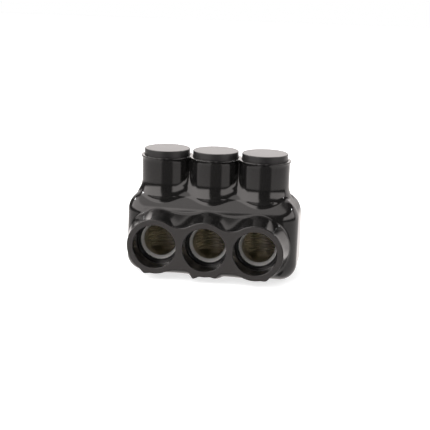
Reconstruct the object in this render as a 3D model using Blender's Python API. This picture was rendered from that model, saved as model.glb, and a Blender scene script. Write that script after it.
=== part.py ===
"""Insulated multi-tap connector for power cables.

An aluminium bar takes one cable in each port, from the front. A socket set screw over
each port clamps the cable. One moulded insulating cover encloses the bar, with a flared
collar round each port and a chimney over each screw. A pull-off plug closes each chimney.

Metres, +Z up. The origin is the point of the resting surface under the middle of the
cover. Cables enter along +Y, and the screws run along Z.
"""

from math import acos, cos, pi, radians, sin, sqrt

import bmesh
import bpy

# Layout: one port, one screw and one chimney at each pitch
PORT_COUNT = 3
PORT_PITCH = 0.028
WIRE_AXIS_HEIGHT = 0.0195
SCREW_AXIS_DEPTH = 0.0317          # from the front of the collars to the screw axes

# Clearance kept between pieces that touch
SEAT_GAP = 0.0003

# Cover: the body round the bar
BODY_DEPTH = 0.0372
BODY_HEIGHT = 0.0466
BODY_LEFT_MARGIN = 0.0201          # from the outer port's axis to that end of the cover
BODY_RIGHT_MARGIN = 0.0213
BODY_BOTTOM_RADIUS = 0.0095
BODY_TOP_RADIUS = 0.012

# Cover: the collars in front
COLLAR_LENGTH = 0.0123
COLLAR_RIM_RADIUS = 0.0155
COLLAR_ROOT_RADIUS = 0.0175
COLLAR_RIM_DIP = 0.0039            # how far the upper outline sinks between two rims
COLLAR_ROOT_DIP = 0.0012           # and where the collars leave the body
COLLAR_LOW_RIM_DIP = 0.0033        # the same for the lower outline
COLLAR_LOW_ROOT_DIP = 0.0006
COLLAR_LOW_FILL = 6                # how fast it fills out behind the rims, as a power
COLLAR_RIM_CHAMFER = 0.0005
COLLAR_BORE_RADIUS = 0.0121
COLLAR_LIP_RADIUS = 0.0111         # hole in the front wall, round the bar's port
COLLAR_LIP_THICKNESS = 0.0009

# Cover: the moulding runs under the rims, each by its port, its angle from the rim's lowest
# point in degrees and its height
RUNS = (
    (0, -20.0, 0.0013),
    (1, -20.0, 0.0026),
    (1, 24.0, 0.0018),
    (2, 24.0, 0.0011),
)
RUN_WIDTH = 0.0054
RUN_SINK = 0.0002                  # how deep a run's edges lie in its rim

# Cover: the chimneys on top
CHIMNEY_TOP_HEIGHT = 0.0658
CHIMNEY_RADIUS = 0.0142
CHIMNEY_MOUTH_RADIUS = 0.0145
CHIMNEY_LIP_RADIUS = 0.0148
CHIMNEY_LIP_HEIGHT = 0.0007
CHIMNEY_MOUTH_HEIGHT = 0.0026      # widening stretch under the top
CHIMNEY_FOOT_HEIGHT = 0.0516       # where the foot starts to flare
CHIMNEY_FOOT_RADIUS = 0.0120       # of the flare's hollow curve
CHIMNEY_FOOT_SPREAD = 0.0022       # widest reach of the foot beyond the chimney
CHIMNEY_BORE_RADIUS = 0.0120
PLUG_SEAT_DEPTH = 0.0100           # from the mouth to the ledge that stops the plug

# Aluminium bar
BAR_FRONT_WALL = 0.0017            # cover thickness in front of the bar
BAR_BACK_WALL = 0.0026
BAR_BOTTOM_WALL = 0.0025
BAR_END_WALL = 0.0038
BAR_TOP_WALL = 0.0026
BAR_BOTTOM_RADIUS = 0.0055
BAR_TOP_RADIUS = 0.008
WIRE_BORE_RADIUS = 0.0092
WIRE_BORE_MOUTH_RADIUS = 0.0108
WIRE_BORE_MOUTH_DEPTH = 0.0034
SCREW_HOLE_RADIUS = 0.0111
SCREW_HOLE_FLOOR_HEIGHT = 0.0085

# Set screws, shown backed out
SCREW_LENGTH = 0.016
SCREW_POINT_HEIGHT = 0.0293
SCREW_CHAMFER = 0.0012
SCREW_SOCKET_WIDTH = 0.0095        # across the flats
SCREW_SOCKET_DEPTH = 0.0085

# Plugs in the chimneys
PLUG_RADIUS = 0.0129
PLUG_STAND = 0.0037                # height of the plug above the chimney
PLUG_WALL = 0.0013
PLUG_TOP_THICKNESS = 0.0016
PLUG_EDGE_RADIUS = 0.0005
PLUG_TIP_TAPER = 0.0004

# Fineness of round faces
ROUND_SEGMENTS = 48
EDGE_SEGMENTS = 24
WEB_SEGMENTS = 8
FLARE_SEGMENTS = 4
SMOOTH_ANGLE = 35.0                # degrees up to which an edge is shaded round
FLAT_ANGLE = 0.5                   # degrees up to which facets count as one flat face

# Planes and distances that follow from the sizes
FRONT_Y = -(COLLAR_LENGTH + BODY_DEPTH) / 2
BODY_FRONT_Y = FRONT_Y + COLLAR_LENGTH
BODY_BACK_Y = BODY_FRONT_Y + BODY_DEPTH
SCREW_AXIS_Y = FRONT_Y + SCREW_AXIS_DEPTH
BAR_FRONT_Y = BODY_FRONT_Y + BAR_FRONT_WALL
BAR_BACK_Y = BODY_BACK_Y - BAR_BACK_WALL
PLUG_TOP_HEIGHT = CHIMNEY_TOP_HEIGHT + PLUG_STAND
PLUG_SEAT_HEIGHT = CHIMNEY_TOP_HEIGHT - PLUG_SEAT_DEPTH
PORTS = [PORT_PITCH * (i - (PORT_COUNT - 1) / 2) for i in range(PORT_COUNT)]
BODY_LEFT_X = PORTS[0] - BODY_LEFT_MARGIN
BODY_RIGHT_X = PORTS[-1] + BODY_RIGHT_MARGIN


def material(name, colour, roughness, metallic):
    """One plain finish for one object."""
    finish = bpy.data.materials.new(name)
    finish.use_nodes = True
    shader = finish.node_tree.nodes["Principled BSDF"]
    shader.inputs["Base Color"].default_value = (*colour, 1.0)
    shader.inputs["Roughness"].default_value = roughness
    shader.inputs["Metallic"].default_value = metallic
    return finish


def new_object(name, solid, finish=None, place=(0, 0, 0)):
    """Turn a bmesh into a named object with round faces shaded smooth."""
    bmesh.ops.recalc_face_normals(solid, faces=solid.faces)
    mesh = bpy.data.meshes.new(name)
    solid.to_mesh(mesh)
    solid.free()
    mesh.shade_smooth()
    mesh.set_sharp_from_angle(angle=radians(SMOOTH_ANGLE))
    obj = bpy.data.objects.new(name, mesh)
    obj.location = place
    if finish:
        mesh.materials.append(finish)
    bpy.context.scene.collection.objects.link(obj)
    return obj


def hull_of_balls(balls):
    """Convex body with rounded edges, from the balls (x, y, z, radius) at its corners."""
    solid = bmesh.new()
    for x, y, z, radius in balls:
        ball = bmesh.ops.create_uvsphere(
            solid, u_segments=EDGE_SEGMENTS, v_segments=EDGE_SEGMENTS // 2, radius=radius)
        bmesh.ops.translate(solid, verts=ball["verts"], vec=(x, y, z))
    hull = bmesh.ops.convex_hull(solid, input=solid.verts, use_existing_faces=False)
    inside = {e for e in hull["geom_interior"] + hull["geom_unused"]
              if isinstance(e, bmesh.types.BMVert)}
    bmesh.ops.delete(solid, geom=list(inside), context="VERTS")
    bmesh.ops.dissolve_limit(
        solid, angle_limit=radians(FLAT_ANGLE), verts=solid.verts, edges=solid.edges)
    return solid


def loft(sections):
    """Closed solid through sections with equal numbers of points, with flat ends."""
    solid = bmesh.new()
    rings = [[solid.verts.new(point) for point in section] for section in sections]
    for ring, following in zip(rings, rings[1:]):
        for i, corner in enumerate(ring):
            j = (i + 1) % len(ring)
            solid.faces.new((corner, ring[j], following[j], following[i]))
    solid.faces.new(rings[0])
    solid.faces.new(rings[-1])
    return solid


def turned_z(profile, segments=ROUND_SEGMENTS):
    """Solid of revolution about Z, from (radius, height) pairs between its two flat ends."""
    turns = [2 * pi * i / segments for i in range(segments)]
    return loft([[(r * cos(t), r * sin(t), z) for t in turns] for r, z in profile])


def turned_y(profile, segments=ROUND_SEGMENTS):
    """Solid of revolution about Y, from (radius, y) pairs between its two flat ends."""
    turns = [2 * pi * i / segments for i in range(segments)]
    return loft([[(r * cos(t), y, r * sin(t)) for t in turns] for r, y in profile])


def combine(target, tool, operation):
    """Join a tool object to the target, or cut it away, and hide the tool."""
    boolean = target.modifiers.new(tool.name, "BOOLEAN")
    boolean.operation = operation
    boolean.solver = "EXACT"
    boolean.object = tool
    tool.hide_render = True
    tool.display_type = "WIRE"


def rounded_box(left, right, front, back, bottom, top, bottom_radius, top_radius):
    """Box whose edges are rounded by one radius round the bottom and one round the top."""
    balls = []
    for height, radius in ((bottom + bottom_radius, bottom_radius),
                           (top - top_radius, top_radius)):
        balls += [(x, y, height, radius)
                  for x in (left + radius, right - radius)
                  for y in (front + radius, back - radius)]
    return hull_of_balls(balls)


def bar_solid(growth=0.0):
    """Aluminium bar, or the hollow it lies in when grown by a gap."""
    return rounded_box(
        BODY_LEFT_X + BAR_END_WALL - growth, BODY_RIGHT_X - BAR_END_WALL + growth,
        BAR_FRONT_Y - growth, BAR_BACK_Y + growth,
        BAR_BOTTOM_WALL - growth, BODY_HEIGHT - BAR_TOP_WALL + growth,
        BAR_BOTTOM_RADIUS + growth, BAR_TOP_RADIUS + growth)


def arc(centre_x, centre_z, radius, start, end, steps):
    """Points of an arc in the XZ plane, as (x, z) pairs without the last point."""
    turns = [start + (end - start) * i / steps for i in range(steps)]
    return [(centre_x + radius * cos(t), centre_z + radius * sin(t)) for t in turns]


def half_outline(rim, dip):
    """Upper half of the collars' outline: arcs of the rim radius joined by hollow webs."""
    half_pitch = PORT_PITCH / 2
    web = half_pitch ** 2 / (2 * dip) - rim + dip / 2
    lean = acos(half_pitch / (rim + web))      # from a port's axis towards a web's centre
    web_height = (rim + web) * sin(lean)
    outline = []
    for x in reversed(PORTS):
        start = 0 if x == PORTS[-1] else lean
        end = pi if x == PORTS[0] else pi - lean
        outline += arc(x, 0, rim, start, end, ROUND_SEGMENTS // 3)
        if x != PORTS[0]:
            outline += arc(x - half_pitch, web_height, web, -lean, lean - pi, WEB_SEGMENTS)
    return outline


def collar_outline(y, rim, dip, low_dip):
    """Outline of all collars at one depth, with its own dips above and below."""
    lower = [(-x, -z) for x, z in half_outline(rim, low_dip)]
    return [(x, y, WIRE_AXIS_HEIGHT + z) for x, z in half_outline(rim, dip) + lower]


def collar_solid():
    """Scalloped rims at the front that flare and fill out towards the body."""
    sections = [collar_outline(FRONT_Y, COLLAR_RIM_RADIUS - COLLAR_RIM_CHAMFER,
                               COLLAR_RIM_DIP, COLLAR_LOW_RIM_DIP)]
    start = FRONT_Y + COLLAR_RIM_CHAMFER
    for i in range(FLARE_SEGMENTS + 1):
        way = i / FLARE_SEGMENTS
        rise = way ** 2
        rim = COLLAR_RIM_RADIUS + (COLLAR_ROOT_RADIUS - COLLAR_RIM_RADIUS) * rise
        dip = COLLAR_RIM_DIP + (COLLAR_ROOT_DIP - COLLAR_RIM_DIP) * rise
        hollow = (COLLAR_LOW_RIM_DIP - COLLAR_LOW_ROOT_DIP) * (1 - way) ** COLLAR_LOW_FILL
        sections.append(collar_outline(start + (BODY_FRONT_Y - start) * way, rim, dip,
                                       COLLAR_LOW_ROOT_DIP + hollow))
    sections.append(collar_outline(BODY_FRONT_Y + BODY_BOTTOM_RADIUS, COLLAR_ROOT_RADIUS,
                                   COLLAR_ROOT_DIP, COLLAR_LOW_ROOT_DIP))
    return loft(sections)


def run_section(port_x, angle, y, height):
    """Soft wedge on a rim, with its ridge at an angle from the rim's lowest point."""
    reach = RUN_WIDTH / 2 / COLLAR_RIM_RADIUS
    section = []
    for i in range(WEB_SEGMENTS + 1):
        way = i / WEB_SEGMENTS
        turn = radians(angle) + reach * (2 * way - 1)
        radius = COLLAR_RIM_RADIUS - RUN_SINK + (RUN_SINK + height) * sin(pi * way) ** 2
        section.append((turn, radius))
    inner = (COLLAR_BORE_RADIUS + COLLAR_RIM_RADIUS) / 2
    section += [(section[-1][0], inner), (section[0][0], inner)]
    return [(port_x + radius * sin(turn), y, WIRE_AXIS_HEIGHT - radius * cos(turn))
            for turn, radius in section]


def run_solid(port_x, angle, height):
    """One moulding run, fading from the rim to the body."""
    flare = COLLAR_ROOT_RADIUS - COLLAR_RIM_RADIUS
    root_height = flare + (height - flare) / 2 if height > flare else height
    return loft([
        run_section(port_x, angle, FRONT_Y + COLLAR_RIM_CHAMFER, height),
        run_section(port_x, angle, BODY_FRONT_Y + BODY_BOTTOM_RADIUS / 2, root_height),
    ])


def chimney_solid():
    """Chimney with a flared foot inside the body and a thin lip at its mouth."""
    foot = [(CHIMNEY_RADIUS + CHIMNEY_FOOT_SPREAD, BODY_HEIGHT - BODY_TOP_RADIUS)]
    widest = acos(1 - CHIMNEY_FOOT_SPREAD / CHIMNEY_FOOT_RADIUS)
    for i in range(FLARE_SEGMENTS):
        lean = widest * (1 - i / FLARE_SEGMENTS)
        foot.append((CHIMNEY_RADIUS + CHIMNEY_FOOT_RADIUS * (1 - cos(lean)),
                     CHIMNEY_FOOT_HEIGHT - CHIMNEY_FOOT_RADIUS * sin(lean)))
    mouth = CHIMNEY_TOP_HEIGHT - CHIMNEY_MOUTH_HEIGHT
    lip = CHIMNEY_TOP_HEIGHT - CHIMNEY_LIP_HEIGHT
    return turned_z(foot + [
        (CHIMNEY_RADIUS, CHIMNEY_FOOT_HEIGHT),
        (CHIMNEY_RADIUS, mouth),
        (CHIMNEY_MOUTH_RADIUS, (mouth + lip) / 2),
        (CHIMNEY_LIP_RADIUS, lip),
        (CHIMNEY_LIP_RADIUS, CHIMNEY_TOP_HEIGHT),
    ])


def port_cutter():
    """Collar's bore, with a thin lip left over the bar's front face."""
    hollow = BAR_FRONT_Y - SEAT_GAP
    return turned_y([
        (COLLAR_BORE_RADIUS, FRONT_Y - COLLAR_LENGTH),
        (COLLAR_BORE_RADIUS, hollow - COLLAR_LIP_THICKNESS),
        (COLLAR_LIP_RADIUS, hollow - COLLAR_LIP_THICKNESS),
        (COLLAR_LIP_RADIUS, BAR_FRONT_Y + BAR_BOTTOM_RADIUS),
    ])


def well_cutter():
    """Chimney's bore: the ledge for the plug, and the way down to the bar."""
    return turned_z([
        (CHIMNEY_BORE_RADIUS, BODY_HEIGHT - BAR_TOP_WALL - BAR_TOP_RADIUS),
        (CHIMNEY_BORE_RADIUS, PLUG_SEAT_HEIGHT),
        (PLUG_RADIUS + SEAT_GAP, PLUG_SEAT_HEIGHT),
        (PLUG_RADIUS + SEAT_GAP, CHIMNEY_TOP_HEIGHT + PLUG_STAND),
    ])


def build_cover():
    """One moulding: body, chimneys and collars, less the bar's hollow and the openings."""
    body = rounded_box(BODY_LEFT_X, BODY_RIGHT_X, BODY_FRONT_Y, BODY_BACK_Y,
                       0, BODY_HEIGHT, BODY_BOTTOM_RADIUS, BODY_TOP_RADIUS)
    cover = new_object("insulating_cover", body,
                       material("black_plastisol", (0.012, 0.012, 0.013), 0.18, 0.0))
    combine(cover, new_object("collars", collar_solid()), "UNION")
    for i, x in enumerate(PORTS):
        chimney = new_object(f"chimney_{i + 1}", chimney_solid(), place=(x, SCREW_AXIS_Y, 0))
        combine(cover, chimney, "UNION")
    for i, (port, angle, height) in enumerate(RUNS):
        run = new_object(f"moulding_run_{i + 1}", run_solid(PORTS[port], angle, height))
        combine(cover, run, "UNION")
    combine(cover, new_object("bar_hollow", bar_solid(SEAT_GAP)), "DIFFERENCE")
    for i, x in enumerate(PORTS):
        port = new_object(f"collar_bore_{i + 1}", port_cutter(),
                          place=(x, 0, WIRE_AXIS_HEIGHT))
        combine(cover, port, "DIFFERENCE")
        well = new_object(f"chimney_bore_{i + 1}", well_cutter(), place=(x, SCREW_AXIS_Y, 0))
        combine(cover, well, "DIFFERENCE")


def build_bar():
    """Aluminium bar with a countersunk blind bore and a tapped hole for each cable."""
    bar = new_object("connector_bar", bar_solid(),
                     material("tin_plated_aluminium", (0.62, 0.62, 0.60), 0.32, 1.0))
    for i, x in enumerate(PORTS):
        bore = turned_y([
            (2 * WIRE_BORE_MOUTH_RADIUS - WIRE_BORE_RADIUS, BAR_FRONT_Y - WIRE_BORE_MOUTH_DEPTH),
            (WIRE_BORE_RADIUS, BAR_FRONT_Y + WIRE_BORE_MOUTH_DEPTH),
            (WIRE_BORE_RADIUS, SCREW_AXIS_Y),
        ])
        combine(bar, new_object(f"wire_bore_{i + 1}", bore, place=(x, 0, WIRE_AXIS_HEIGHT)),
                "DIFFERENCE")
        hole = turned_z([
            (SCREW_HOLE_RADIUS, SCREW_HOLE_FLOOR_HEIGHT),
            (SCREW_HOLE_RADIUS, CHIMNEY_TOP_HEIGHT),
        ])
        combine(bar, new_object(f"screw_hole_{i + 1}", hole, place=(x, SCREW_AXIS_Y, 0)),
                "DIFFERENCE")


def build_screw(name, x):
    """Socket set screw with a chamfered flat point, on its own axis."""
    radius = SCREW_HOLE_RADIUS - SEAT_GAP
    screw = new_object(name, turned_z([
        (radius - SCREW_CHAMFER, 0),
        (radius, SCREW_CHAMFER),
        (radius, SCREW_LENGTH - SCREW_CHAMFER),
        (radius - SCREW_CHAMFER, SCREW_LENGTH),
    ]), material(name + "_aluminium", (0.66, 0.66, 0.66), 0.30, 1.0),
        place=(x, SCREW_AXIS_Y, SCREW_POINT_HEIGHT))
    corner = SCREW_SOCKET_WIDTH / sqrt(3)
    socket = turned_z([
        (corner, SCREW_LENGTH - SCREW_SOCKET_DEPTH),
        (corner, SCREW_LENGTH + SCREW_CHAMFER),
    ], segments=6)
    cutter = new_object(name + "_socket", socket, place=(x, SCREW_AXIS_Y, SCREW_POINT_HEIGHT))
    combine(screw, cutter, "DIFFERENCE")


def build_plug(name, x):
    """Hollow plug pushed down on the ledge in its chimney, on the screw's axis."""
    base = PLUG_SEAT_HEIGHT + SEAT_GAP
    height = PLUG_TOP_HEIGHT - base
    inner = PLUG_RADIUS - PLUG_WALL
    profile = [
        (inner, height - PLUG_TOP_THICKNESS),
        (inner, 0),
        (PLUG_RADIUS - PLUG_TIP_TAPER, 0),
        (PLUG_RADIUS, 2 * PLUG_TIP_TAPER),
        (PLUG_RADIUS, height - PLUG_EDGE_RADIUS),
        (PLUG_RADIUS - PLUG_EDGE_RADIUS, height),
    ]
    new_object(name, turned_z(profile),
               material(name + "_plastic", (0.02, 0.02, 0.02), 0.35, 0.0),
               place=(x, SCREW_AXIS_Y, base))


for old in list(bpy.data.objects):
    bpy.data.objects.remove(old)

build_cover()
build_bar()
for number, port_x in enumerate(PORTS, start=1):
    build_screw(f"set_screw_{number}", port_x)
    build_plug(f"access_plug_{number}", port_x)
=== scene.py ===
"""Looks of the insulated multi-tap connector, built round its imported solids."""

from math import cos, pi, radians, sin, sqrt

import bmesh
import bpy
import numpy as np
from mathutils import Matrix, Vector


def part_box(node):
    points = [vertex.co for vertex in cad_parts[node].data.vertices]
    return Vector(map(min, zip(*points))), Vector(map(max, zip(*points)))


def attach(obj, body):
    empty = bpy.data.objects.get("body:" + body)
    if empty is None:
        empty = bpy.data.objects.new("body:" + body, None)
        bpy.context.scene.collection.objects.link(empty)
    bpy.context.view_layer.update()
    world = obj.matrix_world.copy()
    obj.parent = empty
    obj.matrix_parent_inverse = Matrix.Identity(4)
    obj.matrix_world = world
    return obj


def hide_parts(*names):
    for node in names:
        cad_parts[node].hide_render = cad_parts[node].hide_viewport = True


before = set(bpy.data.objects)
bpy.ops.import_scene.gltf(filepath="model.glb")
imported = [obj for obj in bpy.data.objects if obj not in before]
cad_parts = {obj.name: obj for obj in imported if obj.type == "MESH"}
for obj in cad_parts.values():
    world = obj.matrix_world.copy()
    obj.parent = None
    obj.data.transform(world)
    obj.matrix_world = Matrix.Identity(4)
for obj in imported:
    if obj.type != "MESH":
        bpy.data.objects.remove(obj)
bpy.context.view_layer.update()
scene = bpy.context.scene
scene.view_settings.view_transform = "Standard"


# Camera
# A short telephoto seen from a little to the right of the ports and above them. The view
# was worked out from the ellipses of the rims, so it repeats the photograph's own.
COVER_LOW, COVER_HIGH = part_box("insulating_cover")
SCREWS = [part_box(f"set_screw_{i}") for i in (1, 2, 3)]
PORTS = [(low.x + high.x) / 2 for low, high in SCREWS]
PORT_PITCH = PORTS[1] - PORTS[0]
SCREW_AXIS_Y = (SCREWS[1][0].y + SCREWS[1][1].y) / 2
FRONT_Y = COVER_LOW.y
WIRE_AXIS_HEIGHT = 0.0195

VIEW_AZIMUTH = 9.43
VIEW_ELEVATION = 14.46
VIEW_ROLL = 1.5
VIEW_DISTANCE = 0.5044
VIEW_OFFSET = (0.0061, 0.01943)      # of the picture's middle from the middle port
FOCAL_LENGTH = 77.37                 # mm, on a sensor 36 mm wide

turn = (Matrix.Rotation(radians(VIEW_AZIMUTH), 4, "Z")
        @ Matrix.Rotation(radians(90 - VIEW_ELEVATION), 4, "X")
        @ Matrix.Rotation(radians(VIEW_ROLL), 4, "Z"))
camera = bpy.data.objects.new("camera", bpy.data.cameras.new("camera"))
camera.matrix_world = (Matrix.Translation((PORTS[1], FRONT_Y, WIRE_AXIS_HEIGHT)) @ turn
                       @ Matrix.Translation((*VIEW_OFFSET, VIEW_DISTANCE)))
camera.data.lens = FOCAL_LENGTH
camera.data.clip_start = 0.01
scene.collection.objects.link(camera)
scene.camera = camera


class Field:
    """A node's output, on which Python's arithmetic adds Math nodes."""

    def __init__(self, tree, socket):
        self.tree, self.socket = tree, socket

    def node(self, kind, inputs=None, output=0, **settings):
        """Add any node: its settings first, then values or links for its inputs."""
        node = self.tree.nodes.new(kind)
        for name, value in settings.items():
            setattr(node, name, value)
        for name, value in (inputs or {}).items():
            if isinstance(value, Field):
                self.tree.links.new(value.socket, node.inputs[name])
            else:
                node.inputs[name].default_value = value
        return Field(self.tree, node.outputs[output] if node.outputs else None)

    def math(self, operation, *others):
        """Add a Math node that has this as its first value."""
        values = dict(enumerate((self, *others)))
        return self.node("ShaderNodeMath", values, operation=operation)

    def __add__(self, other):
        return self.math("ADD", other)

    def __sub__(self, other):
        return self.math("SUBTRACT", other)

    def __rsub__(self, other):
        return self.node("ShaderNodeMath", {0: other, 1: self}, operation="SUBTRACT")

    def __mul__(self, other):
        return self.math("MULTIPLY", other)

    def __truediv__(self, other):
        return self.math("DIVIDE", other)

    __radd__, __rmul__ = __add__, __mul__

    def ramp(self, start, end):
        """0 up to start and 1 from end on, smooth between them."""
        return self.node("ShaderNodeMapRange", {
            "Value": self, "From Min": start, "From Max": end,
        }, interpolation_type="SMOOTHSTEP")

    def blend(self, first, second):
        """The first colour where this is 0 and the second where it is 1."""
        return self.node("ShaderNodeMix", {0: self, 6: first, 7: second}, 2, data_type="RGBA")


def new_material(name, **constants):
    """A material whose shader gets the given constants. Returns it, a Field and the shader."""
    made = bpy.data.materials.new(name)
    made.use_nodes = True
    shader = made.node_tree.nodes["Principled BSDF"]
    for socket, value in constants.items():
        shader.inputs[socket.replace("_", " ")].default_value = value
    return made, Field(made.node_tree, None), shader


def link(field, shader, socket):
    """Lead a field into a shader's socket."""
    field.tree.links.new(field.socket, shader.inputs[socket])


# Floor and light
# A light tent, as for a product photograph: a white table, a softbox at the left, a small lamp
# on each side, and pale walls and a ceiling, with a dark gap in front for the camera.
FLOOR_SIZE = 6.0
FLOOR_WHITE = 0.82
FLOOR_ROUGHNESS = 0.9
FLOOR_TOP_UP_NEAR = 0.7              # glow for the camera alone, which keeps the shadow
FLOOR_TOP_UP_FAR = 1.0
SHADOW_REACH = (0.07, 0.30)          # from the middle, between the near and the far glow
SOFTBOX_SIZE = (0.80, 0.80)
SOFTBOX_PLACE = (-0.30, -0.40, 0.60)
SOFTBOX_POWER = 6.0
LAMP_SIZE = 0.05
LAMP_PLACES = ((-0.45, 0.10, 0.42), (0.48, 0.16, 0.40))
LAMP_POWER = 0.35
FILL = 0.35                          # light that matte surfaces get from all round
# The tent as it shows in reflections: azimuth from and to, height from and to, in degrees
# with 0 towards the front and 90 to the right, and the brightness. Where panels overlap,
# their brightness adds up.
PANELS = (
    ((-130, -14), (-91, -9), 0.95),      # table at the left
    ((-14, 38), (-91, -9), 0.19),        # its dark part in front
    ((38, 150), (-91, -9), 0.95),        # at the right
    ((150, 230), (-91, -9), 1.3),        # and behind
    ((-105, -16), (4, 64), 3.0),         # softbox
    ((36, 112), (2, 32), 2.4),           # wall at the right
    ((118, 166), (-9, 20), 1.3),         # foot of the wall at the back right
    ((150, 235), (14, 70), 1.3),         # wall behind
    ((-125, 60), (64, 91), 1.6),         # ceiling over the front
    ((60, 235), (70, 91), 0.3),          # and over the back
    ((168, 212), (0, 36), 1.7),          # brightest part of the wall behind
)
DARK_ROOM = 0.06
WARM = (1.0, 0.945, 0.925, 1)        # tint of what shows in reflections
PANEL_EDGE = 4.5                     # softness of a panel's edge, in degrees

half_floor = FLOOR_SIZE / 2
floor_mesh = bpy.data.meshes.new("floor")
floor_mesh.from_pydata([(-half_floor, -half_floor, 0), (half_floor, -half_floor, 0),
                        (half_floor, half_floor, 0), (-half_floor, half_floor, 0)],
                       [], [(0, 1, 2, 3)])
floor = bpy.data.objects.new("floor", floor_mesh)
floor.visible_glossy = False
scene.collection.objects.link(floor)
white, field, shader = new_material("white_table", Roughness=FLOOR_ROUGHNESS)
shader.inputs["Base Color"].default_value = (FLOOR_WHITE, FLOOR_WHITE, FLOOR_WHITE, 1)
shader.inputs["Emission Color"].default_value = (1, 1, 1, 1)
place = field.node("ShaderNodeTexCoord", output="Object")
away = field.node("ShaderNodeVectorMath", {0: place}, "Value", operation="LENGTH")
top_up = away.ramp(*SHADOW_REACH) * (FLOOR_TOP_UP_FAR - FLOOR_TOP_UP_NEAR) + FLOOR_TOP_UP_NEAR
link(top_up * field.node("ShaderNodeLightPath", output="Is Camera Ray"), shader,
     "Emission Strength")
floor_mesh.materials.append(white)


def new_lamp(name, place, size, power, glossy):
    """Area lamp that faces the middle of the connector."""
    lamp = bpy.data.objects.new(name, bpy.data.lights.new(name, "AREA"))
    lamp.data.shape = "RECTANGLE"
    lamp.data.size, lamp.data.size_y = size
    lamp.data.energy = power
    lamp.location = place
    lamp.rotation_euler = Vector(place).to_track_quat("Z", "Y").to_euler()
    lamp.visible_camera = False
    lamp.visible_glossy = glossy
    scene.collection.objects.link(lamp)


new_lamp("softbox", SOFTBOX_PLACE, SOFTBOX_SIZE, SOFTBOX_POWER, False)
for number, place in enumerate(LAMP_PLACES, start=1):
    new_lamp(f"small_lamp_{number}", place, (LAMP_SIZE, LAMP_SIZE), LAMP_POWER, True)

scene.world = bpy.data.worlds.new("light_tent")
scene.world.use_nodes = True
scene.world.cycles.sampling_method = "NONE"
tent = Field(scene.world.node_tree, None)
direction = tent.node("ShaderNodeTexCoord", output="Generated")
along = [tent.node("ShaderNodeSeparateXYZ", {0: direction}, axis) for axis in "XYZ"]
azimuth = along[0].math("ARCTAN2", along[1] * -1) * (180 / pi)
height = along[2].math("ARCSINE") * (180 / pi)
glow = DARK_ROOM
for (left, right), (low, high), strength in PANELS:
    turned = (azimuth - left).math("FLOORED_MODULO", 360)
    width = right - left
    inside = (turned + PANEL_EDGE).math("FLOORED_MODULO", 360).ramp(0, 2 * PANEL_EDGE)
    inside = inside * (1 - turned.ramp(width - PANEL_EDGE, width + PANEL_EDGE)
                       * (1 - turned.ramp(360 - PANEL_EDGE, 360)))
    inside = inside * height.ramp(low - PANEL_EDGE, low + PANEL_EDGE)
    inside = inside * (1 - height.ramp(high - PANEL_EDGE, high + PANEL_EDGE))
    glow = inside * (strength - DARK_ROOM) + glow
is_camera = tent.node("ShaderNodeLightPath", output="Is Camera Ray")
is_glossy = tent.node("ShaderNodeLightPath", output="Is Glossy Ray")
strength = is_camera + is_glossy * glow + (1 - is_camera) * (1 - is_glossy) * FILL
link(strength, scene.world.node_tree.nodes["Background"], "Strength")
link(is_glossy.blend((1, 1, 1, 1), WARM), scene.world.node_tree.nodes["Background"], "Color")


# Insulating cover
# One moulding of soft black plastisol, dipped over the bar, so every crease is a small
# hollow round. Its rims are trimmed flat and matte, and it runs a little under the rims.
BODY_HEIGHT = 0.0466
BODY_FRONT_Y = FRONT_Y + 0.0110
BODY_BOTTOM_ROUND = 0.0095
BODY_TOP_ROUND = 0.012
RIDGE_HEIGHT = 0.0495                # filled in between the chimneys
RAMP_TILT = radians(38)              # slope that falls from there to the front
RAMP_Y = FRONT_Y + 0.020
RAMP_HEIGHT = 0.0452
RAMP_ROUND = 0.002
RIM_RADIUS = 0.0155
ROOT_RADIUS = 0.0175
RIM_DIP = 0.0039                     # sink of the upper outline between two rims
ROOT_DIP = 0.0012
LOW_RIM_DIP = 0.0033                 # and of the lower one, which soon fills out
LOW_ROOT_DIP = 0.0006
LOW_FILL = 6                         # power of the depth left, so 1 is even
COLLAR_FLARE = 1.25                  # 1 is a straight cone and 2 a round flare
ROOT_LIFT = 0.0008                   # how much higher the collars' tops meet the body
RIM_EDGE_ROUND = 0.0005
# Runs: port (-1, 0, 1), degrees from the lowest point of the rim, and height
RUNS = ((-1, -20, 0.0014), (0, -20, 0.0028), (0, 24, 0.0020), (1, 24, 0.0012))
RUN_HALF_WIDTH = 0.0029
RUN_FADE = 0.8                       # share of its height that a run loses towards the body
RUN_TIP = 0.20                       # roundness of a run's ridge
RUN_CREASE = 0.12                    # and of the creases beside it
CHIMNEY_RADIUS = 0.0142
CHIMNEY_LIP_RADIUS = 0.0148
CHIMNEY_LIP_HEIGHT = 0.0007
CHIMNEY_MOUTH_HEIGHT = 0.0026
CHIMNEY_FOOT_HEIGHT = 0.0516
CHIMNEY_FOOT_RADIUS = 0.012
CHIMNEY_FOOT_SPREAD = 0.0022
LIP_EDGE_ROUND = 0.0004
FOOT_CREASE = 0.0013
GROOVE_CREASE = 0.0015               # between neighbouring chimneys
GROOVE_FILL = 0.008                  # how much wider that gets towards their feet
GROOVE_FILL_HEIGHT = 0.0575          # from here down
COLLAR_CREASE = 0.0010
GRID_STEP = 0.00045                  # where creases and rounds show
WIDE_STEP = 0.0008                   # on the plain stretches
EDGE_STEP = 0.00014                  # where a rim or lip is rounded
CREASE_HEIGHT = 0.031                # creases lie from here up to the chimneys' feet
CREASE_DEPTH = 0.006                 # and as far as this behind the body's front
SETTLING_ROUNDS = 3                  # in which the points settle on the surface
LEAST_SLOPE = 0.5                    # of the distance, to which their step is held
TINY = 1e-6


def smooth_union(a, b, crease):
    """Two distances joined, with a hollow round of about the given size where they meet."""
    near = np.maximum(crease - np.abs(a - b), 0) / crease
    return np.minimum(a, b) - near ** 2 * crease / 4


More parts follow.
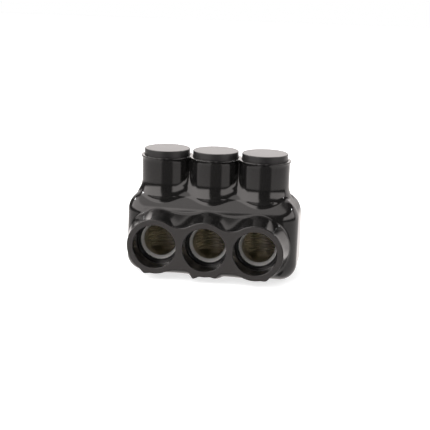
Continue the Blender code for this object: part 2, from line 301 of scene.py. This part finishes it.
def smooth_cut(a, b, edge):
    """What two distances share, with its edge rounded."""
    return -smooth_union(-a, -b, edge)


def body_distance(x, y, z):
    """Block with ball corners, rounder at the top, and a slope up to the chimneys."""
    rise = (z - BODY_BOTTOM_ROUND) / (BODY_HEIGHT - BODY_TOP_ROUND - BODY_BOTTOM_ROUND)
    edge = BODY_BOTTOM_ROUND + (BODY_TOP_ROUND - BODY_BOTTOM_ROUND) * np.clip(rise, 0, 1)
    middle = (COVER_LOW.x + COVER_HIGH.x) / 2, (BODY_FRONT_Y + COVER_HIGH.y) / 2, BODY_HEIGHT / 2
    far = COVER_HIGH.x, COVER_HIGH.y, BODY_HEIGHT
    out = [np.abs(p - m) - (f - m) + edge for p, m, f in zip((x, y, z), middle, far)]
    corner = np.sqrt(sum(np.maximum(part, 0) ** 2 for part in out))
    block = corner + np.minimum(np.maximum.reduce(out), 0) - edge
    ridge = np.maximum(np.abs(x) - PORT_PITCH, np.maximum(z - RIDGE_HEIGHT, y - SCREW_AXIS_Y))
    ridge = np.maximum(ridge, np.maximum(BODY_FRONT_Y + BODY_TOP_ROUND - y,
                                         BODY_HEIGHT - BODY_TOP_ROUND - z))
    ramp = (z - RAMP_HEIGHT) * cos(RAMP_TILT) - (y - RAMP_Y) * sin(RAMP_TILT)
    return smooth_cut(np.minimum(block, ridge), ramp, RAMP_ROUND)


def chimney_distance(across, y, z, inwards):
    """Chimney on its own axis, with a flared foot and a thin lip, grown into its neighbour."""
    drop = np.clip(CHIMNEY_FOOT_HEIGHT - z, 0, CHIMNEY_FOOT_RADIUS)
    spread = CHIMNEY_FOOT_RADIUS - np.sqrt(CHIMNEY_FOOT_RADIUS ** 2 - drop ** 2)
    mouth = (z - COVER_HIGH.z + CHIMNEY_MOUTH_HEIGHT) / (CHIMNEY_MOUTH_HEIGHT - CHIMNEY_LIP_HEIGHT)
    flare = (CHIMNEY_LIP_RADIUS - CHIMNEY_RADIUS) * np.clip(mouth, 0, 1) ** 2
    radius = CHIMNEY_RADIUS + np.minimum(spread, CHIMNEY_FOOT_SPREAD) + flare
    side = np.hypot(across, y - SCREW_AXIS_Y) - radius
    neighbour = np.hypot(np.abs(across) - PORT_PITCH, y - SCREW_AXIS_Y) - radius
    crease = GROOVE_CREASE + GROOVE_FILL * np.clip((GROOVE_FILL_HEIGHT - z) / GROOVE_FILL, 0, 1)
    side = np.where(inwards, smooth_union(side, neighbour, crease), side)
    ends = np.maximum(z - COVER_HIGH.z, BODY_HEIGHT - BODY_TOP_ROUND - z)
    return smooth_cut(side, ends, LIP_EDGE_ROUND)


def run_bump(across, z, port):
    """How far the soft runs under the rims push the outline out."""
    turned = np.arctan2(across, WIRE_AXIS_HEIGHT - z)
    bump = 0.0
    for run_port, place, height in RUNS:
        beside = (turned - radians(place)) * RIM_RADIUS / RUN_HALF_WIDTH
        ridge = 1 - np.hypot(beside, RUN_TIP)
        ridge = (ridge + np.hypot(ridge, RUN_CREASE)) / 2
        bump = bump + np.where(port == run_port, height * ridge, 0)
    return bump


def collar_distance(across, y, z, port, inwards):
    """Rims joined by hollow webs. The outline flares and fills out towards the body."""
    depth = np.clip((y - FRONT_Y) / (BODY_FRONT_Y - FRONT_Y), 0, 1)
    way = depth ** COLLAR_FLARE
    rim = RIM_RADIUS + (ROOT_RADIUS - RIM_RADIUS) * way
    low_dip = LOW_ROOT_DIP + (LOW_RIM_DIP - LOW_ROOT_DIP) * (1 - depth) ** LOW_FILL
    dip = np.where(z < WIRE_AXIS_HEIGHT, low_dip, RIM_DIP + (ROOT_DIP - RIM_DIP) * way)
    half_pitch = PORT_PITCH / 2
    web = half_pitch ** 2 / (2 * dip) - rim + dip / 2
    web_height = np.sqrt((rim + web) ** 2 - half_pitch ** 2)
    side, height = np.abs(across), np.abs(z - WIRE_AXIS_HEIGHT)
    on_web = (side * web_height > height * half_pitch) & inwards
    outline = np.where(on_web, web - np.hypot(side - half_pitch, height - web_height),
                       np.hypot(side, height) - rim)
    outline = outline - run_bump(across, z, port) * (1 - RUN_FADE * way)
    outline = outline - ROOT_LIFT * depth * np.clip((z - WIRE_AXIS_HEIGHT) / ROOT_RADIUS, 0, 1)
    ends = np.maximum(FRONT_Y - y, y - BODY_FRONT_Y - BODY_BOTTOM_ROUND)
    return smooth_cut(outline, ends, RIM_EDGE_ROUND)


def cover_distance(x, y, z):
    """Distance to the cover's outer skin, negative inside."""
    port = np.clip(np.round(x / PORT_PITCH), -1, 1)
    across = x - port * PORT_PITCH
    inwards = (port == 0) | (across * port < 0)
    chimney = chimney_distance(across, y, z, inwards)
    body = smooth_union(body_distance(x, y, z), chimney, FOOT_CREASE)
    return smooth_union(body, collar_distance(across, y, z, port, inwards), COLLAR_CREASE)


def steps(*stops):
    """Grid planes from the first stop on, as (end, step) pairs follow each other."""
    planes = [stops[0]]
    for end, step in stops[1:]:
        count = max(1, round((end - planes[-1]) / step))
        planes += list(np.linspace(planes[-1], end, count + 1)[1:])
    return np.array(planes)


def skin_mesh(name, distance, planes):
    """Mesh of the surface where the distance is 0, with one point in each cell it crosses."""
    grid = np.stack(np.meshgrid(*planes, indexing="ij"))
    value = distance(*grid)
    shape = tuple(n - 1 for n in value.shape)
    total, count = np.zeros((3, *shape)), np.zeros(shape)
    for axis in range(3):
        low = [slice(None)] * 3
        high = [slice(None)] * 3
        low[axis], high[axis] = slice(None, -1), slice(1, None)
        a, b = value[tuple(low)], value[tuple(high)]
        crossed = (a < 0) != (b < 0)
        part = np.where(crossed, a / np.where(crossed, a - b, 1), 0)
        place = grid[(slice(None), *low)] * (1 - part) + grid[(slice(None), *high)] * part
        one, two = [i for i in range(3) if i != axis]
        for i in (0, 1):
            for j in (0, 1):
                near = [slice(None)] * 3
                near[one] = slice(i, i + shape[one])
                near[two] = slice(j, j + shape[two])
                total += np.where(crossed[tuple(near)], place[(slice(None), *near)], 0)
                count += crossed[tuple(near)]
    used = count > 0
    number = np.full(shape, -1)
    number[used] = np.arange(used.sum())
    points = total[:, used] / count[used]
    for _ in range(SETTLING_ROUNDS):
        here = distance(*points)
        slope = np.stack([(distance(*(points + TINY * np.eye(3)[k][:, None])) - here) / TINY
                          for k in range(3)])
        points -= slope * here / np.maximum((slope ** 2).sum(0), LEAST_SLOPE ** 2)
    faces = []
    for axis in range(3):
        one, two = (axis + 1) % 3, (axis + 2) % 3
        inside = np.moveaxis(value < 0, (axis, one, two), (0, 1, 2))
        cells = np.moveaxis(number, (axis, one, two), (0, 1, 2))
        leaves = inside[:-1] & ~inside[1:]
        enters = ~inside[:-1] & inside[1:]
        for mask, order in ((leaves, 1), (enters, -1)):
            i, j, k = np.nonzero(mask[:, 1:-1, 1:-1])
            corners = [cells[i, j, k], cells[i, j + 1, k], cells[i, j + 1, k + 1],
                       cells[i, j, k + 1]]
            faces.append(np.stack(corners[::order], 1))
    mesh = bpy.data.meshes.new(name)
    mesh.from_pydata(points.T.tolist(), [], np.concatenate(faces).tolist())
    return mesh


MARGIN = 2.6 * EDGE_STEP               # which keeps the planes off the flat faces
depth_planes = steps(FRONT_Y - MARGIN, (FRONT_Y + 4 * MARGIN, EDGE_STEP),
                     (BODY_FRONT_Y + CREASE_DEPTH, GRID_STEP), (COVER_HIGH.y + MARGIN, WIDE_STEP))
height_planes = steps(-MARGIN, (CREASE_HEIGHT, WIDE_STEP), (CHIMNEY_FOOT_HEIGHT, GRID_STEP),
                      (COVER_HIGH.z - CHIMNEY_MOUTH_HEIGHT, WIDE_STEP),
                      (COVER_HIGH.z + MARGIN, EDGE_STEP))
side_planes = steps(COVER_LOW.x - MARGIN, (COVER_HIGH.x + MARGIN, (GRID_STEP + WIDE_STEP) / 2))
skin = skin_mesh("cover_skin", cover_distance, (side_planes, depth_planes, height_planes))

# The hollow for the bar, the collars' bores and the wells for the screws are cut out of it
GAP = 0.0003
BAR_LOW, BAR_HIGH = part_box("connector_bar")
BAR_BOTTOM_ROUND = 0.0055
BAR_TOP_ROUND = 0.008
COLLAR_BORE_RADIUS = 0.0121
COLLAR_BORE_ROUND = 0.0004
PORT_LIP_RADIUS = 0.0107
PORT_LIP_THICKNESS = 0.0009
PORT_STEP_ROUND = 0.0003
PORT_LIP_ROUND = 0.0002
WELL_RADIUS = 0.0120
PLUG_SEAT_RADIUS = 0.0132
PLUG_SEAT_HEIGHT = 0.0558
MOUTH_REACH = 0.004                  # how far the cutters stand out in front of the rims
WELL_REACH = 0.003                   # and above the chimneys
TURN_SEGMENTS = 128
BALL_STEPS = 16
ROUND_STEPS = 6
SHARP_ANGLE = 30.0


def new_object(name, mesh):
    """Link a mesh into the scene, with its faces turned outwards."""
    solid = bmesh.new()
    solid.from_mesh(mesh)
    bmesh.ops.recalc_face_normals(solid, faces=solid.faces)
    solid.to_mesh(mesh)
    solid.free()
    made = bpy.data.objects.new(name, mesh)
    scene.collection.objects.link(made)
    return made


def eased(*corners):
    """Outline through (radius, place, round) corners, each eased by its own round."""
    points = []
    for i, (radius, place, size) in enumerate(corners):
        here = Vector((radius, place))
        if not size:
            points.append(here)
            continue
        before = (Vector(corners[i - 1][:2]) - here).normalized() * size
        after = (Vector(corners[i + 1][:2]) - here).normalized() * size
        for k in range(ROUND_STEPS + 1):
            way = k / ROUND_STEPS
            points.append(here + before * (1 - way) ** 2 + after * way ** 2)
    return points


def turned_solid(name, outline, matrix, segments=TURN_SEGMENTS):
    """Turn an outline about Z into a closed solid and put it in its place."""
    corners, faces = [], []
    for ring, (radius, place) in enumerate(outline):
        for i in range(segments):
            angle = 2 * pi * i / segments
            corners.append(matrix @ Vector((radius * cos(angle), radius * sin(angle), place)))
            if ring:
                j, below, here = (i + 1) % segments, (ring - 1) * segments, ring * segments
                faces.append((below + i, below + j, here + j, here + i))
    faces += [range(segments), range(len(corners) - segments, len(corners))]
    mesh = bpy.data.meshes.new(name)
    mesh.from_pydata(corners, [], faces)
    return new_object(name, mesh)


def rounded_block(name, low, high, bottom_round, top_round):
    """Block with one round along its lower edges and another along its upper ones."""
    solid = bmesh.new()
    for side_x, side_y, side_z in np.ndindex(2, 2, 2):
        size = top_round if side_z else bottom_round
        centre = Vector(high[i] - size if side else low[i] + size
                        for i, side in enumerate((side_x, side_y, side_z)))
        for i, j in np.ndindex(BALL_STEPS + 1, BALL_STEPS + 1):
            lean, turned = i / BALL_STEPS * pi / 2, j / BALL_STEPS * pi / 2
            away = Vector((sin(lean) * cos(turned), sin(lean) * sin(turned), cos(lean)))
            signs = [1 if side else -1 for side in (side_x, side_y, side_z)]
            solid.verts.new(centre + size * away * Vector(signs))
    bmesh.ops.remove_doubles(solid, verts=solid.verts, dist=1e-7)
    bmesh.ops.convex_hull(solid, input=solid.verts)
    bmesh.ops.delete(solid, geom=[v for v in solid.verts if not v.link_faces], context="VERTS")
    mesh = bpy.data.meshes.new(name)
    solid.to_mesh(mesh)
    solid.free()
    return new_object(name, mesh)


def cut_away(target, cutters, finish):
    """Take all cutters out of a target at once, give it one finish and smooth its curves."""
    group = bpy.data.collections.new("cutters")
    for cutter in cutters:
        group.objects.link(cutter)
    openings = target.modifiers.new("openings", "BOOLEAN")
    openings.operand_type, openings.collection, openings.solver = "COLLECTION", group, "MANIFOLD"
    bpy.context.view_layer.update()
    depsgraph = bpy.context.evaluated_depsgraph_get()
    target.data = bpy.data.meshes.new_from_object(target.evaluated_get(depsgraph))
    target.modifiers.clear()
    for cutter in cutters:
        bpy.data.objects.remove(cutter)
    bpy.data.collections.remove(group)
    target.data.materials.clear()
    target.data.materials.append(finish)
    target.data.polygons.foreach_set("material_index", [0] * len(target.data.polygons))
    target.data.shade_smooth()
    target.data.set_sharp_from_angle(angle=radians(SHARP_ANGLE))


BORE_AXES = [Matrix.Translation((x, 0, WIRE_AXIS_HEIGHT)) @ Matrix.Rotation(-pi / 2, 4, "X")
             for x in PORTS]
SCREW_AXES = [Matrix.Translation((x, SCREW_AXIS_Y, 0)) for x in PORTS]
LIP_Y = BAR_LOW.y - GAP - PORT_LIP_THICKNESS
# The mouth's first corner only turns its round outwards, and is then moved to lead straight out
mouth = eased((2 * COLLAR_BORE_RADIUS, FRONT_Y, 0),
              (COLLAR_BORE_RADIUS, FRONT_Y, COLLAR_BORE_ROUND),
              (COLLAR_BORE_RADIUS, LIP_Y, PORT_STEP_ROUND),
              (PORT_LIP_RADIUS, LIP_Y, PORT_LIP_ROUND),
              (PORT_LIP_RADIUS, BAR_LOW.y + BAR_BOTTOM_ROUND, 0))
mouth[0] = Vector((COLLAR_BORE_RADIUS + COLLAR_BORE_ROUND, FRONT_Y - MOUTH_REACH))
well = eased((WELL_RADIUS, BAR_HIGH.z - BAR_TOP_ROUND, 0), (WELL_RADIUS, PLUG_SEAT_HEIGHT, 0),
             (PLUG_SEAT_RADIUS, PLUG_SEAT_HEIGHT, 0),
             (PLUG_SEAT_RADIUS, COVER_HIGH.z + WELL_REACH, 0))
widened = Vector((GAP, GAP, GAP))
cutters = [rounded_block("bar_hollow", BAR_LOW - widened, BAR_HIGH + widened,
                         BAR_BOTTOM_ROUND + GAP, BAR_TOP_ROUND + GAP)]
cutters += [turned_solid("mouth", mouth, axis) for axis in BORE_AXES]
cutters += [turned_solid("well", well, axis) for axis in SCREW_AXES]

# Glossy black all over, with faint waves, and matte grey where the rims were trimmed
BLACK = (0.0095, 0.0090, 0.0088, 1)
BLACK_ROUGHNESS = 0.13
TRIMMED = (0.032, 0.029, 0.028, 1)
TRIMMED_ROUGHNESS = 0.55             # on top of the black's
TRIM_DEPTH = 0.00035
TRIM_FACING = (0.95, 0.99)           # how squarely a trimmed face looks to the front
GRAIN_SCALE = 1800.0
GRAIN_ROUGHNESS = 0.1
WAVE_SCALE = 45.0
WAVE_HEIGHT = 0.00025
WAVE_STRENGTH = 0.5
plastisol, field, shader = new_material("black_plastisol", IOR=1.52)
place = field.node("ShaderNodeTexCoord", output="Object")
normal = field.node("ShaderNodeTexCoord", output="Normal")
facing = field.node("ShaderNodeSeparateXYZ", {0: normal}, "Y") * -1
depth = field.node("ShaderNodeSeparateXYZ", {0: place}, "Y") - (FRONT_Y + TRIM_DEPTH)
trimmed = facing.ramp(*TRIM_FACING) * (depth * -1).ramp(0, TRIM_DEPTH / 2)
grain = field.node("ShaderNodeTexNoise", {"Vector": place, "Scale": GRAIN_SCALE, "Detail": 2.0})
link(trimmed.blend(BLACK, TRIMMED), shader, "Base Color")
link(trimmed * (TRIMMED_ROUGHNESS + grain * GRAIN_ROUGHNESS) + BLACK_ROUGHNESS, shader,
     "Roughness")
wave = field.node("ShaderNodeTexNoise", {"Vector": place, "Scale": WAVE_SCALE, "Detail": 1.0})
link(field.node("ShaderNodeBump", {
    "Height": wave, "Distance": WAVE_HEIGHT, "Strength": WAVE_STRENGTH}), shader, "Normal")
cover = new_object("moulded_cover", skin)
cut_away(cover, cutters, plastisol)
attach(cover, "housing")
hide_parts("insulating_cover")


# Connector bar
# Tin-plated aluminium. Each cable bore is countersunk, and a tapped hole crosses it, with its
# thread in view through the port under an olive film of oxide inhibitor.
BORE_RADIUS = 0.0092
BORE_MOUTH_RADIUS = 0.0103
BORE_MOUTH_DEPTH = 0.0018
BORE_EDGE_ROUND = 0.0003
HOLE_RADIUS = 0.0111
HOLE_FLOOR_HEIGHT = 0.0085
HOLE_REACH = 0.001                   # how far the cutters stand out above the bar
THREAD_PITCH = 0.001814
THREAD_DEPTH = 0.0007
THREAD_SEGMENTS = 80
THREAD_STEPS = 10                    # rings in each turn of the thread


def thread_tree():
    """Geometry nodes for a row of threaded rods with chamfered ends.

    A negative groove stands out instead, for the cutter of a tapped hole.
    """
    tree = bpy.data.node_groups.new("threaded_rods", "GeometryNodeTree")
    socket = tree.interface.new_socket
    socket("Rods", in_out="OUTPUT", socket_type="NodeSocketGeometry")
    for name in ("Radius", "Length", "Pitch", "Groove", "Chamfer", "Spacing"):
        socket(name, in_out="INPUT", socket_type="NodeSocketFloat")
    socket("Count", in_out="INPUT", socket_type="NodeSocketInt")
    socket("Material", in_out="INPUT", socket_type="NodeSocketMaterial")
    rods = Field(tree, None)
    radius, length, pitch, groove, chamfer, spacing, count, finish = (
        rods.node("NodeGroupInput", output=i) for i in range(8))
    rings = (length / pitch * THREAD_STEPS).math("ROUND")
    cylinder = rods.node("GeometryNodeMeshCylinder", {
        "Vertices": THREAD_SEGMENTS, "Side Segments": rings, "Radius": radius, "Depth": length})
    place = rods.node("GeometryNodeInputPosition")
    x, y, z = (rods.node("ShaderNodeSeparateXYZ", {0: place}, axis) for axis in "XYZ")
    turns = z / pitch - y.math("ARCTAN2", x) / (2 * pi)
    wave = 0.5 - (turns * (2 * pi)).math("COSINE") * 0.5
    from_end = length * 0.5 - z.math("ABSOLUTE")
    cut = (radius - groove * wave).math("MINIMUM", radius - chamfer + from_end)
    scale = cut / radius
    moved = rods.node("ShaderNodeCombineXYZ", {0: x * scale, 1: y * scale, 2: z})
    rod = rods.node("GeometryNodeSetPosition", {"Geometry": cylinder, "Position": moved})
    row = rods.node("GeometryNodeMeshLine", {
        "Count": count, "Offset": rods.node("ShaderNodeCombineXYZ", {0: spacing})})
    copies = rods.node("GeometryNodeInstanceOnPoints", {"Points": row, "Instance": rod})
    joined = rods.node("GeometryNodeRealizeInstances", {"Geometry": copies})
    smooth = rods.node("GeometryNodeSetShadeSmooth", {"Geometry": joined})
    rods.node("NodeGroupOutput", {
        0: rods.node("GeometryNodeSetMaterial", {"Geometry": smooth, "Material": finish})})
    return tree


THREADS = thread_tree()


def threaded_rods(name, place, **values):
    """One plain mesh with a row of threaded rods, the first with its lower end at a place."""
    rods = bpy.data.objects.new(name, bpy.data.meshes.new(name))
    scene.collection.objects.link(rods)
    modifier = rods.modifiers.new("threads", "NODES")
    modifier.node_group = THREADS
    for item in THREADS.interface.items_tree:
        if item.in_out == "INPUT":
            modifier[item.identifier] = values[item.name]
    bpy.context.view_layer.update()
    depsgraph = bpy.context.evaluated_depsgraph_get()
    rods.data = bpy.data.meshes.new_from_object(rods.evaluated_get(depsgraph))
    rods.modifiers.clear()
    rods.data.transform(Matrix.Translation((*place[:2], place[2] + values["Length"] / 2)))
    return rods


BARE = (0.86, 0.84, 0.82, 1)
BARE_ROUGHNESS = 0.36
BARE_METALLIC = 0.55                 # as its dull plating mirrors less than clean metal
GREASE = (0.55, 0.52, 0.43, 1)
PAINTED_HIGHLIGHT = (1.0, 0.96, 0.87, 1)         # painted highlight: a lighter, warmer colour where the threads show their shine
FILM_GLOSS = 0.10                    # how much smoother the film is
FILM_EDGE = (-0.0001, 0.0002)        # from the bore's wall, where it thins out
FILM_START = (0.90, 1.05)            # shares of the mouth's depth, between which it sets in
FILM_RADIUS = (0.0158, 0.0163)       # round each bore's axis, where it ends inside the bar
FILM_THICKNESS = (0.75, 0.5)         # least, and what the smears add to it
SMEAR_SCALE = 260.0
SMEAR_ROUGHNESS = 0.06
PAINTED_HIGHLIGHT_BEHIND = (-0.001, 0.004)       # painted highlight from here on behind the screw's axis
PAINTED_HIGHLIGHT_BESIDE = (-0.004, 0.001)       # and from here on to its right

plating, field, shader = new_material("plated_aluminium")
place = field.node("ShaderNodeTexCoord", output="Object")
x, y, z = (field.node("ShaderNodeSeparateXYZ", {0: place}, axis) for axis in "XYZ")
across = ((x / PORT_PITCH + 0.5).math("FRACT") - 0.5) * PORT_PITCH
level = z - WIRE_AXIS_HEIGHT
out = (across.math("POWER", 2) + level.math("POWER", 2)).math("SQRT")
in_bore = 1 - out.ramp(*(BORE_RADIUS + edge for edge in FILM_EDGE))
behind_mouth = (y - BAR_LOW.y).ramp(*(BORE_MOUTH_DEPTH * share for share in FILM_START))
greased = in_bore.math("MAXIMUM", behind_mouth * (1 - out.ramp(*FILM_RADIUS)))
smear = field.node("ShaderNodeTexNoise", {"Vector": place, "Scale": SMEAR_SCALE, "Detail": 3.0})
least, added = FILM_THICKNESS
film = (greased * (least + smear * added)).math("MINIMUM", 1)
# Painted highlight: the thread's colour is lighter and warmer behind and right of each screw's
# axis, where its shine shows
painted_highlight = (y - SCREW_AXIS_Y).ramp(*PAINTED_HIGHLIGHT_BEHIND) * across.ramp(*PAINTED_HIGHLIGHT_BESIDE)
link(film.blend(BARE, painted_highlight.blend(GREASE, PAINTED_HIGHLIGHT)), shader, "Base Color")
link(BARE_ROUGHNESS - film * FILM_GLOSS + smear * SMEAR_ROUGHNESS, shader, "Roughness")
link(BARE_METALLIC + film * (1 - BARE_METALLIC), shader, "Metallic")

bar = rounded_block("plated_bar", BAR_LOW, BAR_HIGH, BAR_BOTTOM_ROUND, BAR_TOP_ROUND)
bore = eased((2 * BORE_MOUTH_RADIUS - BORE_RADIUS, BAR_LOW.y - BORE_MOUTH_DEPTH, 0),
             (BORE_RADIUS, BAR_LOW.y + BORE_MOUTH_DEPTH, BORE_EDGE_ROUND),
             (BORE_RADIUS, SCREW_AXIS_Y, 0))
cutters = [turned_solid("bore", bore, axis) for axis in BORE_AXES]
cutters.append(threaded_rods(
    "tapped_holes", (PORTS[0], SCREW_AXIS_Y, HOLE_FLOOR_HEIGHT), Radius=HOLE_RADIUS,
    Length=BAR_HIGH.z + HOLE_REACH - HOLE_FLOOR_HEIGHT, Pitch=THREAD_PITCH, Groove=-THREAD_DEPTH,
    Chamfer=0.0, Spacing=PORT_PITCH, Count=3, Material=plating))
cut_away(bar, cutters, plating)
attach(bar, "housing")
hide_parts("connector_bar")


# Set screws
# Short threaded plugs of bright aluminium with a hex socket, each in its own tapped hole.
SCREW_RADIUS = HOLE_RADIUS - GAP
SCREW_CHAMFER = 0.0012
SOCKET_WIDTH = 0.0095                # across the flats
SOCKET_DEPTH = 0.0085
SOCKET_CHAMFER = 0.0003
SOCKET_REACH = 0.0001                # how far its cutter stands out above the screw
SCREW_METAL = (0.66, 0.66, 0.65, 1)
SCREW_ROUGHNESS = 0.24
MARKS_SCALE = 900.0
MARKS_ROUGHNESS = 0.12

for number, ((low, high), axis) in enumerate(zip(SCREWS, SCREW_AXES), start=1):
    metal, field, shader = new_material(f"screw_aluminium_{number}", Metallic=1.0)
    shader.inputs["Base Color"].default_value = SCREW_METAL
    place = field.node("ShaderNodeTexCoord", output="Object")
    marks = field.node("ShaderNodeTexNoise", {"Vector": place, "Scale": MARKS_SCALE})
    link(SCREW_ROUGHNESS + marks * MARKS_ROUGHNESS, shader, "Roughness")
    screw = threaded_rods(
        f"threaded_screw_{number}", (axis.translation.x, SCREW_AXIS_Y, low.z),
        Radius=SCREW_RADIUS, Length=high.z - low.z, Pitch=THREAD_PITCH, Groove=THREAD_DEPTH,
        Chamfer=SCREW_CHAMFER, Spacing=0.0, Count=1, Material=metal)
    radius = SOCKET_WIDTH / sqrt(3)
    socket = eased((radius, high.z - SOCKET_DEPTH, 0), (radius, high.z - SOCKET_CHAMFER, 0),
                   (radius + SOCKET_CHAMFER + SOCKET_REACH, high.z + SOCKET_REACH, 0))
    cut_away(screw, [turned_solid("socket", socket, axis, segments=6)], metal)
    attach(screw, f"screw_{number}")
    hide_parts(f"set_screw_{number}")


# Access plugs
# Hollow satin black cups pressed into the chimneys, with a thin rounded edge round the top.
PLUG_WALL = 0.0013
PLUG_TOP_THICKNESS = 0.0016
PLUG_EDGE_ROUND = 0.0005
PLUG_INNER_ROUND = 0.0002
PLUG_TOP_MIDDLE = 0.001              # radius of the flat face that closes the top
PLUG_BLACK = (0.022, 0.021, 0.021, 1)
PLUG_ROUGHNESS = 0.30
PLUG_GRAIN_SCALE = 2600.0
PLUG_GRAIN_ROUGHNESS = 0.08
PLUG_GRAIN_HEIGHT = 0.00004
PLUG_GRAIN_STRENGTH = 0.4

for number, axis in enumerate(SCREW_AXES, start=1):
    low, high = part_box(f"access_plug_{number}")
    radius = (high.x - low.x) / 2
    cup = eased((radius - PLUG_WALL, high.z - PLUG_TOP_THICKNESS, 0),
                (radius - PLUG_WALL, low.z, PLUG_INNER_ROUND),
                (radius, low.z, PLUG_EDGE_ROUND), (radius, high.z, PLUG_EDGE_ROUND),
                (PLUG_TOP_MIDDLE, high.z, 0))
    plug = turned_solid(f"chimney_plug_{number}", cup, axis)
    plug.data.shade_smooth()
    plug.data.set_sharp_from_angle(angle=radians(SHARP_ANGLE))
    plastic, field, shader = new_material(f"plug_plastic_{number}", IOR=1.5)
    shader.inputs["Base Color"].default_value = PLUG_BLACK
    place = field.node("ShaderNodeTexCoord", output="Object")
    grain = field.node("ShaderNodeTexNoise", {"Vector": place, "Scale": PLUG_GRAIN_SCALE})
    link(PLUG_ROUGHNESS + grain * PLUG_GRAIN_ROUGHNESS, shader, "Roughness")
    link(field.node("ShaderNodeBump", {
        "Height": grain, "Distance": PLUG_GRAIN_HEIGHT, "Strength": PLUG_GRAIN_STRENGTH}),
        shader, "Normal")
    plug.data.materials.append(plastic)
    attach(plug, f"plug_{number}")
    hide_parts(f"access_plug_{number}")
